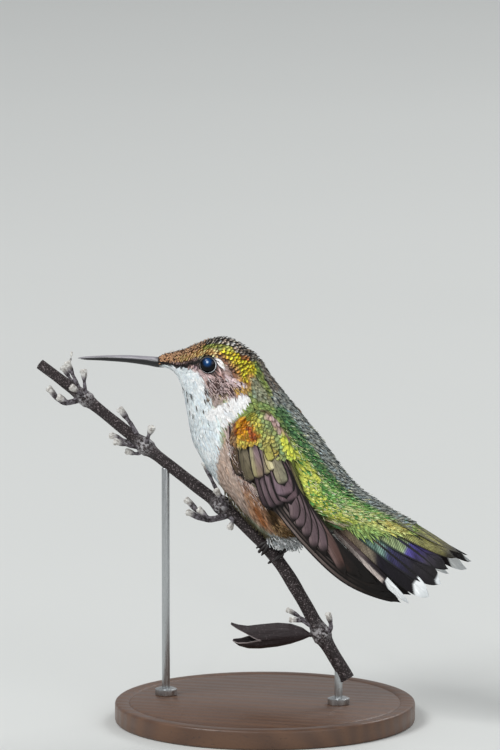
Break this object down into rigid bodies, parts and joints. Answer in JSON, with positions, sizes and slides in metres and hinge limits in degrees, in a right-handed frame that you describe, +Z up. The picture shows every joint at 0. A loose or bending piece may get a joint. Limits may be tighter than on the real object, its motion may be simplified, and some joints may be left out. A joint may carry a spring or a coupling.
{
  "type": "hummingbird",
  "caption": "Life-size hummingbird model with green back, white throat and fanned tail, gripping a cut length of dry flower stem on a small round display stand.",
  "frame": {"origin": "centre of the underside of the round display base", "axes": "+Z up; the bill points towards -X and the tail towards +X, so the bird's left side faces -Y; the bird's upright middle plane is Y = 0"},
  "size_m": [0.0891, 0.06, 0.0773],
  "materials": {
    "head_plumage": "fine iridescent feather scales, bronze and gold-green with a white throat",
    "neck_plumage": "soft white collar and green nape feathers",
    "body_plumage": "bronze-green back, buff flanks, white breast",
    "rump_plumage": "green coverts with hair-like edges, white vent tuft",
    "wing_feathers": "violet-brown flight feathers with dark edges, green shoulder",
    "tail_feathers": "green, violet and black bands, white tips",
    "bill_horn": "satin black horn, grey sheen above",
    "eye_gloss": "wet black",
    "foot_skin": "dark scaled skin and claws",
    "stem_bark": "dry dark stem, fine pale speckle and ridges",
    "seed_cup_husk": "dry ribbed husk",
    "base_wood": "dark satin hardwood",
    "rod_steel": "fine brushed"
  },
  "bodies": {
    "root": {"head": "head_plumage", "neck": "neck_plumage", "trunk": "body_plumage", "rump": "rump_plumage", "bill_upper": "bill_horn", "bill_lower": "bill_horn", "eye_right": "eye_gloss", "eye_left": "eye_gloss", "wing_right": "wing_feathers", "wing_left": "wing_feathers", "tail": "tail_feathers", "leg_left": "foot_skin", "leg_right": "foot_skin", "perch_stem": "stem_bark", "perch_seed_cup": "seed_cup_husk", "stand_base": "base_wood", "stand_rod_front": "rod_steel", "stand_collar_front": "rod_steel", "stand_rod_rear": "rod_steel", "stand_collar_rear": "rod_steel"}
  },
  "joints": []
}
